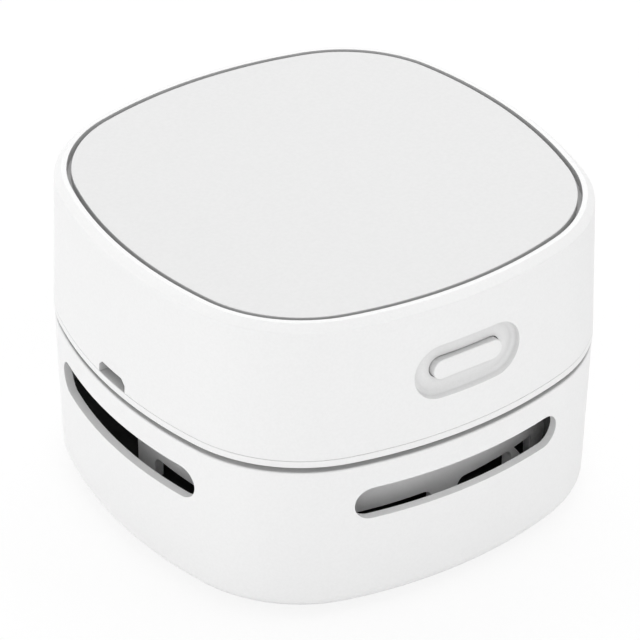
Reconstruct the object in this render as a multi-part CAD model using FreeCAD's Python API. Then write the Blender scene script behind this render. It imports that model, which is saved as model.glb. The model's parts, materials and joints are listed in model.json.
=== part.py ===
import FreeCAD, Part
import math
import os

# Desktop mini vacuum cleaner: a rounded square body in two halves.
# The lower half is the dust cup, which rests on the desk.
# The upper half is the head: it lifts straight up to empty the cup.
# Millimetres. The origin is on the desk under the middle of the body.
# +Z is up, the power button is at the front, towards -Y, and the charging socket is at -X.

V = FreeCAD.Vector

# Body outline at the seam, where the body is widest
body_half = 40.0
side_radius = 75.6
corner_radius = 24.5

# Heights of the body
foot_height = 1.6
cup_height = 27.05
seam_gap = 1.0
head_height = 25.15

# Clearances, the overrun of every cut, and how close two lengths count as equal
lift_gap = 0.3
seat_gap = 0.15
running_gap = 0.05
overrun = 3.0
match = 0.01

# Upper shell
shell_wall = 2.0
shell_draft = 0.85
shell_edge = 0.15
bevel_in = 1.15
bevel_drop = 1.1
bevel_edge = 0.3
rim_width = 0.8
lid_thickness = 3.2
shell_boss_inset = 5.16
shell_boss_radius = 2.8
shell_web_thickness = 1.2

# Top panel and its tape
panel_thickness = 1.5
panel_groove = 0.75
panel_edge = 0.15
panel_ledge = 3.45
tape_thickness = 0.15
tape_width = 2.4

# Power button and its dish
button_drop = 12.65
button_length = 12.9
button_height = 3.45
button_gap = 0.15
button_proud = 0.9
button_edge = 0.2
button_travel = 0.8
button_flange_margin = 1.3
button_flange_thickness = 0.9
button_stem_radius = 1.5
dish_length = 20.2
dish_height = 9.6
dish_depth = 1.3
dish_lean = 0.35
dish_round = 0.65
button_pad_thickness = 1.2
button_pad_length = 24.6
button_pad_height = 13.0

# Charging socket and its notch in the shell
notch_width = 7.5
notch_height = 2.35
notch_corner = 0.95
socket_depth = 5.6
socket_skin = 0.25
tongue_width = 3.7
tongue_thickness = 0.6
tongue_depth = 4.6

# Dust cup shell
cup_step = 0.1
cup_taper = 0.62
cup_wall = 1.4
cup_floor = 2.0
cup_edge = 0.3
base_round = 2.6
slot_drop = 7.55
slot_length = 38.8
slot_height = 5.85
intake_radius = 9.0
chimney_wall = 1.2
chimney_height = 1.4
ledge_width = 1.7
ledge_height = 1.2
ledge_rise = 3.0

# Gasket on the ledge
gasket_height = 1.2
gasket_width = 1.5

# Brush ring under the cup
brush_ring_radius = 22.0
brush_ring_thickness = 1.0
tuft_radius = 0.75
tuft_depth = 0.5
tuft_clearance = 0.25
tuft_row_gap = 2.6
tuft_rows = 2
tufts_per_arc = 10
tuft_arc = 130.0
brush_screw_inset = 3.6
brush_screw_seat = 0.5
brush_boss_radius = 2.4
brush_boss_height = 2.2

# Glide feet
foot_radius = 4.5
foot_inset = 0.5
foot_edge_gap = 1.13
foot_edge = 0.5

# Chassis between the halves
rim_height = 1.2
rim_edge = 0.15
lip_height = 4.0
lip_thickness = 1.4
spigot_height = 5.1
spigot_thickness = 1.3
housing_post_radius = 2.6
housing_post_inset = 4.0
housing_post_rise = 0.9
board_post_radius = 1.9

# Fan housing
annulus_width = 5.38
housing_wall = 1.6
housing_deck = 1.6
housing_drop = 2.05
window_height = 4.3
window_corner = 1.6
outlet_drop = 2.2
motor_cup_wall = 1.4
motor_cup_floor = 1.6
plate_boss_radius = 2.1
plate_boss_sink = 0.7
plate_boss_height = 7.0
deck_rib_thickness = 1.2
deck_rib_height = 4.5
deck_ribs = 6
# Windows in the housing wall: start and end, in degrees about +Z from +X
low_windows = (
    (181.8, 214.0), (236.0, 267.3), (276.0, 296.3), (322.0, 346.0), (8.0, 38.0), (52.0, 84.0), (96.0, 128.0),
)
tall_window = (142.0, 172.8)
# The narrow window with a slanting brace: where it starts and ends along X, and the brace's reach and height
braced_start = 16.0
braced_end = 20.2
brace_reach = 1.5
brace_height = 2.0

# Inlet plate under the fan
plate_margin = 0.5
plate_thickness = 1.2
eye_radius = 12.0
eye_ring_radius = 5.0
eye_bar = 1.1
eye_bars = 6
collar_wall = 1.2
collar_height = 2.2

# Filter
filter_radius = 21.0
filter_rim = 1.4
filter_base = 0.6
filter_bars = 6
filter_height = 2.1

# Fan wheel
impeller_gap = 5.4
impeller_disc = 1.2
impeller_under_cup = 0.6
impeller_over_plate = 0.7
hub_radius = 3.6
blade_height = 4.3
blade_sink = 0.6
blade_inner_radius = 9.0
blade_thickness = 1.1
blade_sweep = 46.0
blade_count = 11
blade_bend_share = 0.62

# Motor
motor_radius = 10.05
motor_flat_half = 7.55
motor_length = 20.0
motor_skin = 0.8
motor_nose_radius = 3.05
shaft_radius = 1.0
end_cap_height = 3.8
end_cap_nose_height = 1.2
magnet_thickness = 1.3
magnet_height = 15.0
magnet_sweep = 84.0
armature_radius = 6.3
armature_height = 11.0
armature_rise = 3.8
pole_count = 3
pole_neck = 1.9
pole_shoe = 1.3
pole_shoe_sweep = 98.0
armature_hub_radius = 2.3
winding_gap = 0.12
winding_overhang = 1.4
commutator_radius = 2.2
commutator_height = 3.2
brush_thickness = 0.5
brush_width = 1.6
terminal_width = 2.2
terminal_thickness = 0.4
terminal_height = 3.0
terminal_reach = 5.2
sleeve_thickness = 1.95
sleeve_rise = 4.25
motor_screw_reach = 6.3

# Battery cell lying behind the motor
cell_radius = 7.0
cell_lift = 1.2
cell_end_room = 1.58
cell_board_gap = 0.45
cell_edge = 0.7
cell_cap_radius = 2.8
cell_cap_height = 0.7
tab_width = 5.0
tab_thickness = 0.2
tab_drop = 4.0
saddle_width = 3.0
saddle_wall = 1.4
saddle_board_gap = 1.22
strap_width = 7.0
strap_thickness = 0.6
strap_foot = 2.6

# Main board over the charging socket
board_thickness = 1.0
board_width = 26.0
board_wall_gap = 0.5
board_motor_gap = 4.17
board_screw_margin = 2.6
board_screw_inset = 4.5
# Pieces on the board: shares of its length and width, and places as shares from the wall and from the front
chip_size_share = (0.227, 0.169)
chip_height = 1.3
chip_place_shares = ((0.59, 0.69), (0.63, 0.35), (0.34, 0.50))
coil_radius_share = 0.145
coil_height = 3.0
coil_place_share = (0.36, 0.21)
capacitor_radius_share = 0.091
capacitor_height = 5.4
capacitor_place_share = (0.27, 0.81)
plug_size_share = (0.136, 0.177)
plug_height = 4.0
plug_place_shares = ((0.86, 0.30), (0.86, 0.50), (0.86, 0.70))
pin_shift = 1.0

# Switch on its own small board behind the button
switch_side = 6.0
switch_depth = 4.6
plunger_radius = 1.6
plunger_out = 1.5
plunger_in = 1.4
plunger_pocket = 2.6
switch_board_half = 9.0
switch_board_rise = 15.6
rail_thickness = 1.2
rail_bite = 1.0
rail_height = 12.0

# Screws: head radius, head height, shank radius, shank length
shell_screw = (2.1, 1.3, 0.95, 8.0)
housing_screw = (2.1, 1.3, 0.95, 5.6)
plate_screw = (1.6, 0.9, 0.75, 5.5)
brush_screw = (1.5, 0.5, 0.7, 3.0)
motor_screw = (1.7, 0.9, 0.95, 2.1)
board_screw = (1.6, 0.9, 0.75, 3.2)
screw_gap = 0.03
drive_width_share = 0.28
drive_reach_share = 0.62
drive_depth_share = 0.5

# Leads inside the head
lead_radius = 0.55
lead_bend_share = 0.45
lead_out = 3.4
lead_step = 0.65
lead_over_plug = 4.25
lead_beside = 2.5

# Heights that follow
cup_top = foot_height + cup_height
rim_low = cup_top + seam_gap
rim_top = rim_low + rim_height
top_z = rim_low + head_height
lid_low = top_z - lid_thickness
panel_low = top_z - panel_thickness
floor_top = foot_height + cup_floor
chimney_top = floor_top + chimney_height
ledge_low = floor_top + ledge_rise
ledge_top = ledge_low + ledge_height
plate_low = ledge_top + gasket_height
plate_top = plate_low + plate_thickness
impeller_low = plate_top + impeller_over_plate
disc_low = impeller_low + blade_height
disc_top = disc_low + impeller_disc
motor_cup_low = disc_top + impeller_under_cup
motor_low = motor_cup_low + motor_cup_floor
motor_top = motor_low + motor_length
housing_top = rim_low - housing_drop
deck_low = housing_top - housing_deck
slot_z = cup_top - slot_drop
button_z = top_z - button_drop
socket_top = rim_top + notch_height
board_top = socket_top + board_thickness
cell_z = rim_top + cell_lift + cell_radius
armature_low = motor_low + armature_rise
armature_top = armature_low + armature_height
commutator_low = armature_top + winding_overhang + winding_gap

# Outline family: every outline is an exact offset of the widest one
right_angle = math.pi / 2
side_centre = body_half - side_radius
corner_span = side_radius - corner_radius
corner_centre = (2 * side_centre + math.sqrt(8 * corner_span ** 2 - 4 * side_centre ** 2)) / 4
side_turn = math.atan2(corner_centre, corner_centre - side_centre)


# Outlines and walls of the body

def turned(x, y, angle):
    """A point turned about the Z axis by an angle in radians."""
    return V(x * math.cos(angle) - y * math.sin(angle), x * math.sin(angle) + y * math.cos(angle), 0)


def polar(radius, degrees, z=0.0):
    """A point at a radius and an angle about the Z axis."""
    angle = math.radians(degrees)
    return V(radius * math.cos(angle), radius * math.sin(angle), z)


def outline(half, z):
    """The body's outline at a half width, as eight tangent arcs at one height."""
    inset = body_half - half
    side = (side_centre, 0, side_radius - inset, -side_turn, side_turn)
    corner = (corner_centre, corner_centre, corner_radius - inset, side_turn, right_angle - side_turn)
    edges = []
    for quarter in range(4):
        for x, y, radius, start, end in (side, corner):
            points = []
            for angle in (start, (start + end) / 2, end):
                flat = turned(x + radius * math.cos(angle), y + radius * math.sin(angle), quarter * right_angle)
                points.append(flat + V(0, 0, z))
            edges.append(Part.Arc(*points).toShape())
    return Part.Wire(edges)


def slab(half, low, high):
    """A straight block of the body's outline."""
    return Part.Face(outline(half, low)).extrude(V(0, 0, high - low))


def band(outer_half, inner_half, low, high):
    """A straight wall between two outlines."""
    return slab(outer_half, low, high).cut(slab(inner_half, low - overrun, high + overrun))


def tapered(half_at, low, high, inset=0.0):
    """A block whose outline follows a half width that changes evenly with height."""
    wires = [outline(half_at(low) - inset, low), outline(half_at(high) - inset, high)]
    return Part.makeLoft(wires, True, True)


def shell_half(z):
    """Half width of the upper body at a height."""
    return body_half - shell_draft * (z - rim_low) / head_height


def cup_half(z):
    """Half width of the dust cup at a height."""
    return body_half - cup_step - cup_taper * (cup_top - z) / cup_height


def side_reach(half, across):
    """Distance of a side arc from the middle of the body, off centre by a given amount."""
    radius = side_radius - (body_half - half)
    return side_centre + math.sqrt(radius ** 2 - across ** 2)


def corner_reach(half):
    """Distance of an outline's corner from the middle of the body."""
    return corner_centre * math.sqrt(2) + corner_radius - (body_half - half)


# Basic shapes

def rod(radius, low, high, x=0.0, y=0.0):
    """An upright round bar."""
    return Part.makeCylinder(radius, high - low, V(x, y, low))


def tube(outer, inner, low, high, x=0.0, y=0.0):
    """An upright round tube."""
    return rod(outer, low, high, x, y).cut(rod(inner, low - overrun, high + overrun, x, y))


def block(x0, x1, y0, y1, z0, z1):
    """A box given by its faces."""
    return Part.makeBox(x1 - x0, y1 - y0, z1 - z0, V(x0, y0, z0))


def bar_along_x(radius, x0, x1, y, z):
    """A round bar lying along X."""
    return Part.makeCylinder(radius, x1 - x0, V(x0, y, z), V(1, 0, 0))


def bar_along_y(radius, y0, y1, z):
    """A round bar lying along Y through the middle of the body."""
    return Part.makeCylinder(radius, y1 - y0, V(0, y0, z), V(0, 1, 0))


def pill_wire(length, height, y, z):
    """An upright outline with full round ends, facing along Y."""
    end = height / 2
    reach = length / 2 - end
    top_left, top_right = V(-reach, y, z + end), V(reach, y, z + end)
    low_left, low_right = V(-reach, y, z - end), V(reach, y, z - end)
    edges = [
        Part.LineSegment(top_left, top_right).toShape(),
        Part.Arc(top_right, V(length / 2, y, z), low_right).toShape(),
        Part.LineSegment(low_right, low_left).toShape(),
        Part.Arc(low_left, V(-length / 2, y, z), top_left).toShape(),
    ]
    return Part.Wire(edges)


def pill(length, height, front, back, z):
    """A bar with full round ends, lying along X and reaching back along Y."""
    return Part.Face(pill_wire(length, height, front, z)).extrude(V(0, back - front, 0))


def sector(outer, inner, start, end, low, high):
    """A piece of a tube between two angles in degrees."""
    piece = Part.makeCylinder(outer, high - low, V(0, 0, low), V(0, 0, 1), end - start)
    piece.rotate(V(0, 0, 0), V(0, 0, 1), start)
    return piece.cut(rod(inner, low - overrun, high + overrun))


def about_z(shape, degrees):
    """A copy of a shape turned about the Z axis."""
    copy = shape.copy()
    copy.rotate(V(0, 0, 0), V(0, 0, 1), degrees)
    return copy


def corners_at(reach):
    """Four points at one distance from the middle, towards the body's corners."""
    return [polar(reach, 45.0 + 90.0 * quarter) for quarter in range(4)]


def level_edges(shape, z):
    """The edges of a shape that lie level at a height."""
    return [e for e in shape.Edges if all(abs(v.Z - z) < match for v in e.Vertexes)]


def screw(sizes, x, y, seat, upwards=True):
    """A cross drive screw whose head lies under, or on, the face at the seat's height."""
    head_radius, head_height, shank_radius, shank_length = sizes
    low = seat - head_height
    piece = rod(head_radius, low, seat, x, y).fuse(rod(shank_radius, seat, seat + shank_length, x, y))
    reach = head_radius * drive_reach_share
    half = head_radius * drive_width_share / 2
    depth = low + head_height * drive_depth_share
    piece = piece.cut(block(x - reach, x + reach, y - half, y + half, low - overrun, depth))
    piece = piece.cut(block(x - half, x + half, y - reach, y + reach, low - overrun, depth))
    if not upwards:
        piece.rotate(V(x, y, seat), V(1, 0, 0), 180)
    return piece


def screw_hole(sizes, x, y, low, high):
    """The hole that a screw's shank holds in."""
    return rod(sizes[2] + screw_gap, low, high, x, y)


def lead(points):
    """A round lead through points: straight runs joined by tangent arcs."""
    edges = []
    start = points[0]
    for before, corner, after in zip(points, points[1:], points[2:]):
        back = (before - corner).normalize()
        onward = (after - corner).normalize()
        cut = lead_bend_share * min(before.distanceToPoint(corner), after.distanceToPoint(corner))
        half_turn = (math.pi - back.getAngle(onward)) / 2
        radius = cut / math.tan(half_turn)
        towards = (back + onward).normalize()
        middle = corner + towards * (radius / math.cos(half_turn) - radius)
        entry, leave = corner + back * cut, corner + onward * cut
        edges.append(Part.LineSegment(start, entry).toShape())
        edges.append(Part.Arc(entry, middle, leave).toShape())
        start = leave
        print("lead bend radius", round(radius, 2))
    edges.append(Part.LineSegment(start, points[-1]).toShape())
    path = Part.Wire(edges)
    section = Part.Wire(Part.makeCircle(lead_radius, points[0], points[1] - points[0]))
    piece = path.makePipeShell([section], True, True)
    plain = math.pi * lead_radius ** 2 * path.Length
    print("lead length", round(path.Length, 2), "volume share", round(piece.Volume / plain, 4))
    return piece


# Dust cup

def tuft_places():
    """Where the tufts stand: two crescents, each of two rows, either side of the intake."""
    step = tuft_arc / (tufts_per_arc - 1)
    places = []
    for middle in (90.0, 270.0):
        for row in range(tuft_rows):
            reach = intake_radius + tuft_row_gap * (row + 1)
            start = middle - tuft_arc / 2 + (row - 0.5) * step / 2
            places.extend(polar(reach, start + i * step) for i in range(tufts_per_arc))
    return places


def brush_screw_places():
    return [polar(brush_ring_radius - brush_screw_inset, angle) for angle in (0.0, 120.0, 240.0)]


def foot_places():
    flat = corner_reach(cup_half(foot_height)) - base_round
    return corners_at(flat - foot_edge_gap - foot_radius)


def lower_shell():
    """The cup: tapered walls, rounded base, four air slots and the short chimney of the intake."""
    outer = tapered(cup_half, foot_height, cup_top)
    outer = outer.makeFillet(base_round, level_edges(outer, foot_height))
    outer = outer.makeFillet(cup_edge, level_edges(outer, cup_top))
    cup = outer.cut(tapered(cup_half, floor_top, cup_top + overrun, cup_wall))
    ledge_half = cup_half(ledge_low) - cup_wall
    cup = cup.fuse(band(ledge_half + cup_wall / 2, ledge_half - ledge_width, ledge_low, ledge_top))
    slot = pill(slot_length, slot_height, -body_half - overrun, -housing_half, slot_z)
    for quarter in range(4):
        cup = cup.cut(about_z(slot, 90.0 * quarter))
    cup = cup.fuse(rod(intake_radius + chimney_wall, floor_top - cup_floor / 2, chimney_top))
    for p in brush_screw_places():
        cup = cup.fuse(rod(brush_boss_radius, floor_top - cup_floor / 2, floor_top + brush_boss_height, p.x, p.y))
    recess_top = foot_height + brush_ring_thickness
    cup = cup.cut(rod(brush_ring_radius + seat_gap, foot_height - overrun, recess_top))
    cup = cup.cut(rod(intake_radius, foot_height - overrun, chimney_top + overrun))
    for p in brush_screw_places():
        hole_top = foot_height + brush_screw_seat + brush_screw[3] + seat_gap
        cup = cup.cut(screw_hole(brush_screw, p.x, p.y, foot_height, hole_top))
    for p in foot_places():
        cup = cup.cut(rod(foot_radius + seat_gap, foot_height - overrun, foot_height + foot_inset, p.x, p.y))
    return cup.removeSplitter()


def glide_feet():
    """Four soft pads that the cup rests on."""
    feet = []
    for p in foot_places():
        pad = rod(foot_radius, 0, foot_height + foot_inset, p.x, p.y)
        feet.append(pad.makeFillet(foot_edge, [e for e in level_edges(pad, 0) if len(e.Vertexes) == 1]))
    return Part.makeCompound(feet)


def cup_gasket():
    """The seal that the inlet plate presses on."""
    half = cup_half(ledge_top) - cup_wall - seat_gap
    return band(half, half - gasket_width, ledge_top, plate_low)


def brush_ring():
    """The ring that holds the bristles, let into the underside."""
    low = foot_height
    high = foot_height + brush_ring_thickness
    ring = tube(brush_ring_radius, intake_radius, low, high)
    for p in tuft_places():
        ring = ring.cut(rod(tuft_radius, low - overrun, low + tuft_depth, p.x, p.y))
    for p in brush_screw_places():
        ring = ring.cut(rod(brush_screw[0] + seat_gap, low - overrun, low + brush_screw_seat, p.x, p.y))
        ring = ring.cut(screw_hole(brush_screw, p.x, p.y, low - overrun, high + overrun))
    return ring


def bristle_tufts():
    """Short stiff tufts that sweep crumbs to the intake."""
    top = foot_height + tuft_depth
    return Part.makeCompound([rod(tuft_radius, tuft_clearance, top, p.x, p.y) for p in tuft_places()])


def brush_screws():
    seat = foot_height + brush_screw_seat
    return Part.makeCompound([screw(brush_screw, p.x, p.y, seat) for p in brush_screw_places()])


# Upper shell and panel

def button_stop():
    """The flat inner face around the button's hole, which stops its flange."""
    return -(shell_half(button_z) - shell_wall - button_pad_thickness)


def button_dish():
    """The cutter for the finger dish: steep sides and a floor that follows the wall."""
    front = -body_half - overrun
    face = -shell_half(button_z)
    back = face + dish_depth + shell_wall / 2
    slope = 2 * dish_lean / dish_depth
    grow = slope * (face - front)
    shrink = slope * (back - face)
    wide = pill_wire(dish_length + grow, dish_height + grow, front, button_z)
    narrow = pill_wire(dish_length - shrink, dish_height - shrink, back, button_z)
    cutter = Part.makeLoft([wide, narrow], True, True)
    cutter = cutter.cut(tapered(shell_half, rim_low, top_z, dish_depth))
    deep = -body_half + dish_depth / 2
    floor_edges = [e for e in cutter.Edges if all(v.Y > deep for v in e.Vertexes)]
    return cutter.makeFillet(dish_round, floor_edges)


def socket_notch():
    """The cutter for the charging notch, with its two upper corners cut off."""
    half = notch_width / 2
    low, high = rim_top - overrun, rim_top + notch_height
    x = -body_half - overrun
    corners = [
        V(x, -half, low), V(x, half, low), V(x, half, high - notch_corner),
        V(x, half - notch_corner, high), V(x, -half + notch_corner, high), V(x, -half, high - notch_corner),
    ]
    face = Part.Face(Part.makePolygon(corners + [corners[0]]))
    return face.extrude(V(shell_wall + 2 * overrun, 0, 0))


def shell_boss_places():
    return corners_at(corner_reach(shell_half(rim_top) - shell_wall) - shell_boss_inset)


def upper_shell():
    """The upper body: drafted walls, bevelled top edge, panel recess and screw bosses."""
    bevel_low = top_z - bevel_drop
    wall = tapered(shell_half, rim_top, bevel_low)
    wires = [outline(shell_half(bevel_low), bevel_low), outline(shell_half(top_z) - bevel_in, top_z)]
    body = wall.fuse(Part.makeLoft(wires, True, True)).removeSplitter()
    body = body.makeFillet(bevel_edge, level_edges(body, bevel_low))
    body = body.makeFillet(shell_edge, level_edges(body, rim_top))
    shell = body.cut(tapered(shell_half, rim_top - overrun, lid_low, shell_wall))
    shell = shell.cut(slab(panel_half + panel_groove, panel_low - tape_thickness, top_z + overrun))
    shell = shell.cut(slab(lid_window_half, lid_low - overrun, top_z + overrun))
    inside = tapered(shell_half, rim_top, lid_low, shell_wall / 2)
    for quarter, p in enumerate(shell_boss_places()):
        boss = rod(shell_boss_radius, rim_top, lid_low, p.x, p.y)
        half = shell_web_thickness / 2
        web = block(p.Length, p.Length + shell_boss_inset + shell_wall, -half, half, rim_top, lid_low)
        shell = shell.fuse(boss.fuse(about_z(web, 45.0 + 90.0 * quarter)).common(inside))
    pad_back = button_stop()
    pad = pill(button_pad_length, button_pad_height, -body_half, pad_back, button_z)
    shell = shell.fuse(pad.common(inside))
    shell = shell.cut(button_dish())
    hole_length, hole_height = button_length + 2 * button_gap, button_height + 2 * button_gap
    shell = shell.cut(pill(hole_length, hole_height, -body_half - overrun, pad_back + overrun, button_z))
    shell = shell.cut(socket_notch())
    for p in shell_boss_places():
        hole_top = rim_low + shell_screw[3] + seat_gap
        shell = shell.cut(screw_hole(shell_screw, p.x, p.y, rim_top - overrun, hole_top))
    return shell.removeSplitter()


def top_panel():
    """The flush matt panel in the lid."""
    panel = slab(panel_half, panel_low, top_z)
    return panel.makeFillet(panel_edge, level_edges(panel, top_z))


def panel_tape():
    """The tape that holds the panel on its ledge."""
    inner = lid_window_half + seat_gap
    return band(inner + tape_width, inner, panel_low - tape_thickness, panel_low)


# Chassis

def housing_post_places():
    return corners_at(housing_half - housing_post_inset)


def board_edge():
    """The main board's outer edge, towards -X."""
    return -side_reach(shell_half(board_top) - shell_wall - board_wall_gap, board_width / 2)


def board_post_places(x):
    y = board_width / 2 - board_screw_margin
    return [V(x, -y, 0), V(x, y, 0)]


def board_screw_places():
    return board_post_places(board_edge() + board_length - board_screw_inset)


def board_rest_places():
    return board_post_places(board_edge() + board_screw_inset)


def stem_back():
    """The rear end of the button's stem, which the plunger touches."""
    return button_stop() + button_flange_thickness + button_travel


def switch_front():
    return stem_back() + plunger_out


def switch_board_front():
    return switch_front() + switch_depth


def saddle(x):
    """A cradle wall that the battery cell lies in."""
    half = saddle_width / 2
    side = cell_radius + saddle_wall
    wall = block(x - half, x + half, cell_y - side, cell_y + side, rim_top, cell_z)
    return wall.cut(bar_along_x(cell_radius, x - saddle_width, x + saddle_width, cell_y, cell_z))


def switch_rail(side):
    """An upright rail with a slot for the edge of the switch board."""
    front = switch_board_front() - rail_thickness
    back = switch_board_front() + board_thickness + rail_thickness
    high = rim_top + rail_height
    rail = block(switch_board_half - rail_bite, switch_board_half + rail_thickness, front, back, rim_top, high)
    slot_front, slot_back = front + rail_thickness - running_gap, back - rail_thickness + running_gap
    slot_end = switch_board_half + running_gap
    rail = rail.cut(block(0, slot_end, slot_front, slot_back, rim_top, high + overrun))
    if side < 0:
        return rail.mirror(V(0, 0, 0), V(1, 0, 0))
    return rail


def mid_frame():
    """The chassis: a plate whose rim shows in the seam, a lip up, a spigot down and its seats."""
    frame = tapered(shell_half, rim_low, rim_top)
    frame = frame.makeFillet(rim_edge, level_edges(frame, rim_low) + level_edges(frame, rim_top))
    lip_top = rim_top + lip_height
    lip_half = shell_half(lip_top) - shell_wall - seat_gap
    lip = band(lip_half, lip_half - lip_thickness, rim_top, lip_top)
    half = board_width / 2 + seat_gap
    lip = lip.cut(block(-body_half, 0, -half, half, rim_top, lip_top))
    half = shell_web_thickness / 2 + seat_gap
    for quarter in range(4):
        gap = block(0, corner_reach(body_half), -half, half, rim_top, lip_top)
        lip = lip.cut(about_z(gap, 45.0 + 90.0 * quarter))
    pad_length, pad_height = button_pad_length + 2 * seat_gap, button_pad_height + 2 * seat_gap
    lip = lip.cut(pill(pad_length, pad_height, -body_half, 0, button_z))
    frame = frame.fuse(lip)
    spigot_low = rim_low - spigot_height
    spigot_half = cup_half(spigot_low) - cup_wall - lift_gap
    frame = frame.fuse(band(spigot_half, spigot_half - spigot_thickness, spigot_low, rim_low))
    for p in housing_post_places():
        frame = frame.fuse(rod(housing_post_radius, housing_top, rim_top + housing_post_rise, p.x, p.y))
    for p in board_screw_places() + board_rest_places():
        frame = frame.fuse(rod(board_post_radius, rim_top - rim_height / 2, socket_top, p.x, p.y))
    for x in (-saddle_place, saddle_place):
        frame = frame.fuse(saddle(x))
    for side in (-1, 1):
        frame = frame.fuse(switch_rail(side))
    frame = frame.cut(rod(motor_cup_radius + seat_gap, rim_low - overrun, rim_top + overrun))
    for p in housing_post_places():
        frame = frame.cut(screw_hole(housing_screw, p.x, p.y, housing_top - overrun, rim_top + overrun))
    for p in board_screw_places():
        frame = frame.cut(screw_hole(board_screw, p.x, p.y, board_top - board_screw[3] - seat_gap, board_top))
    for p in shell_boss_places():
        frame = frame.cut(screw_hole(shell_screw, p.x, p.y, rim_low - overrun, rim_top + overrun))
    return frame.removeSplitter()


def shell_screws():
    return Part.makeCompound([screw(shell_screw, p.x, p.y, rim_low) for p in shell_boss_places()])


# Fan housing and what hangs under it

def plate_boss_places():
    """In the corners of the housing, sunk a little into its wall."""
    return corners_at(corner_reach(housing_half - housing_wall) - plate_boss_radius + plate_boss_sink)


def window(start, end, high):
    """The cutter for one window in the housing wall, with rounded upper corners."""
    outer, inner = corner_reach(housing_half) + overrun, housing_half - housing_wall - overrun / 2
    cutter = sector(outer, inner, start, end, plate_top - overrun, high)
    corners = [e for e in level_edges(cutter, high) if abs(e.Length - (outer - inner)) < match]
    return cutter.makeFillet(window_corner, corners)


def braced_window():
    """The cutter for the narrow window, whose brace slants down from its upper corner."""
    low, high = plate_top - overrun, plate_top + window_height
    brace_end, brace_low = braced_start + brace_reach, high - brace_height
    y = -housing_half - overrun
    corners = [
        V(braced_start, y, high), V(braced_end, y, high), V(braced_end, y, low), V(brace_end, y, low),
        V(brace_end, y, brace_low),
    ]
    face = Part.Face(Part.makePolygon(corners + [corners[0]]))
    return face.extrude(V(0, housing_wall + 3 * overrun, 0))


def fan_housing():
    """The pale drum around the fan, with windows, a deck and a cup for the motor."""
    housing = band(housing_half, housing_half - housing_wall, plate_top, housing_top)
    for start, end in low_windows:
        housing = housing.cut(window(start, end, plate_top + window_height))
    housing = housing.cut(window(*tall_window, deck_low - outlet_drop)).cut(braced_window())
    inside = housing_half - housing_wall / 2
    housing = housing.fuse(slab(inside, deck_low, housing_top))
    housing = housing.fuse(rod(motor_cup_radius, motor_cup_low, rim_top))
    half = deck_rib_thickness / 2
    rib_low = deck_low - deck_rib_height
    rib_start, rib_end = motor_cup_radius - motor_cup_wall / 2, corner_reach(inside)
    rib = block(rib_start, rib_end, -half, half, rib_low, housing_top)
    room = slab(inside, rib_low, housing_top)
    for step in range(deck_ribs):
        housing = housing.fuse(about_z(rib, step * 360.0 / deck_ribs).common(room))
    for p in plate_boss_places():
        housing = housing.fuse(rod(plate_boss_radius, plate_top, plate_top + plate_boss_height, p.x, p.y))
    housing = housing.cut(rod(motor_cup_radius - motor_cup_wall, motor_low, rim_top + overrun))
    housing = housing.cut(rod(motor_nose_radius, motor_cup_low - overrun, motor_low + overrun))
    for p in housing_post_places():
        housing = housing.cut(screw_hole(housing_screw, p.x, p.y, deck_low - overrun, housing_top + overrun))
    for p in plate_boss_places():
        hole_top = plate_low + plate_screw[3] + seat_gap
        housing = housing.cut(screw_hole(plate_screw, p.x, p.y, plate_top - overrun, hole_top))
    seat = motor_cup_low + motor_screw[1]
    for x in (-motor_screw_reach, motor_screw_reach):
        housing = housing.cut(rod(motor_screw[0] + seat_gap, motor_cup_low - overrun, seat, x, 0))
        housing = housing.cut(screw_hole(motor_screw, x, 0, seat - overrun, motor_low + overrun))
    return housing.removeSplitter()


def housing_screws():
    return Part.makeCompound([screw(housing_screw, p.x, p.y, deck_low) for p in housing_post_places()])


def inlet_plate():
    """The partition between dust and fan, with the fan's guarded eye and the filter's collar."""
    plate = slab(cup_half(plate_low) - cup_wall - plate_margin, plate_low, plate_top)
    plate = plate.cut(rod(eye_radius, plate_low - overrun, plate_top + overrun))
    for step in range(eye_bars):
        bar = block(0, eye_radius + eye_bar, -eye_bar / 2, eye_bar / 2, plate_low, plate_top)
        plate = plate.fuse(about_z(bar, step * 360.0 / eye_bars))
    plate = plate.fuse(tube(eye_ring_radius + eye_bar, eye_ring_radius, plate_low, plate_top))
    inner = filter_radius + running_gap
    collar_top = plate_low + plate_thickness / 2
    plate = plate.fuse(tube(inner + collar_wall, inner, plate_low - collar_height, collar_top))
    for p in plate_boss_places():
        plate = plate.cut(screw_hole(plate_screw, p.x, p.y, plate_low - overrun, plate_top + overrun))
    return plate.removeSplitter()


def plate_screws():
    return Part.makeCompound([screw(plate_screw, p.x, p.y, plate_low) for p in plate_boss_places()])


def filter_frame():
    """The frame that pushes into the collar and carries the filter foam."""
    low = plate_low - filter_height
    frame = tube(filter_radius, filter_radius - filter_rim, low, plate_low)
    for step in range(filter_bars):
        bar = block(0, filter_radius - filter_rim / 2, -eye_bar / 2, eye_bar / 2, low, low + filter_base)
        frame = frame.fuse(about_z(bar, (step + 0.5) * 360.0 / filter_bars))
    return frame.removeSplitter()


def filter_foam():
    """The foam disc under the fan's eye."""
    return rod(filter_radius - filter_rim, plate_low - filter_height + filter_base, plate_low)


# Motor

def can_shape(radius, flat_half, low, high):
    """A round bar with two flats, as small motors have."""
    return rod(radius, low, high).common(block(-radius, radius, -flat_half, flat_half, low, high))


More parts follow.
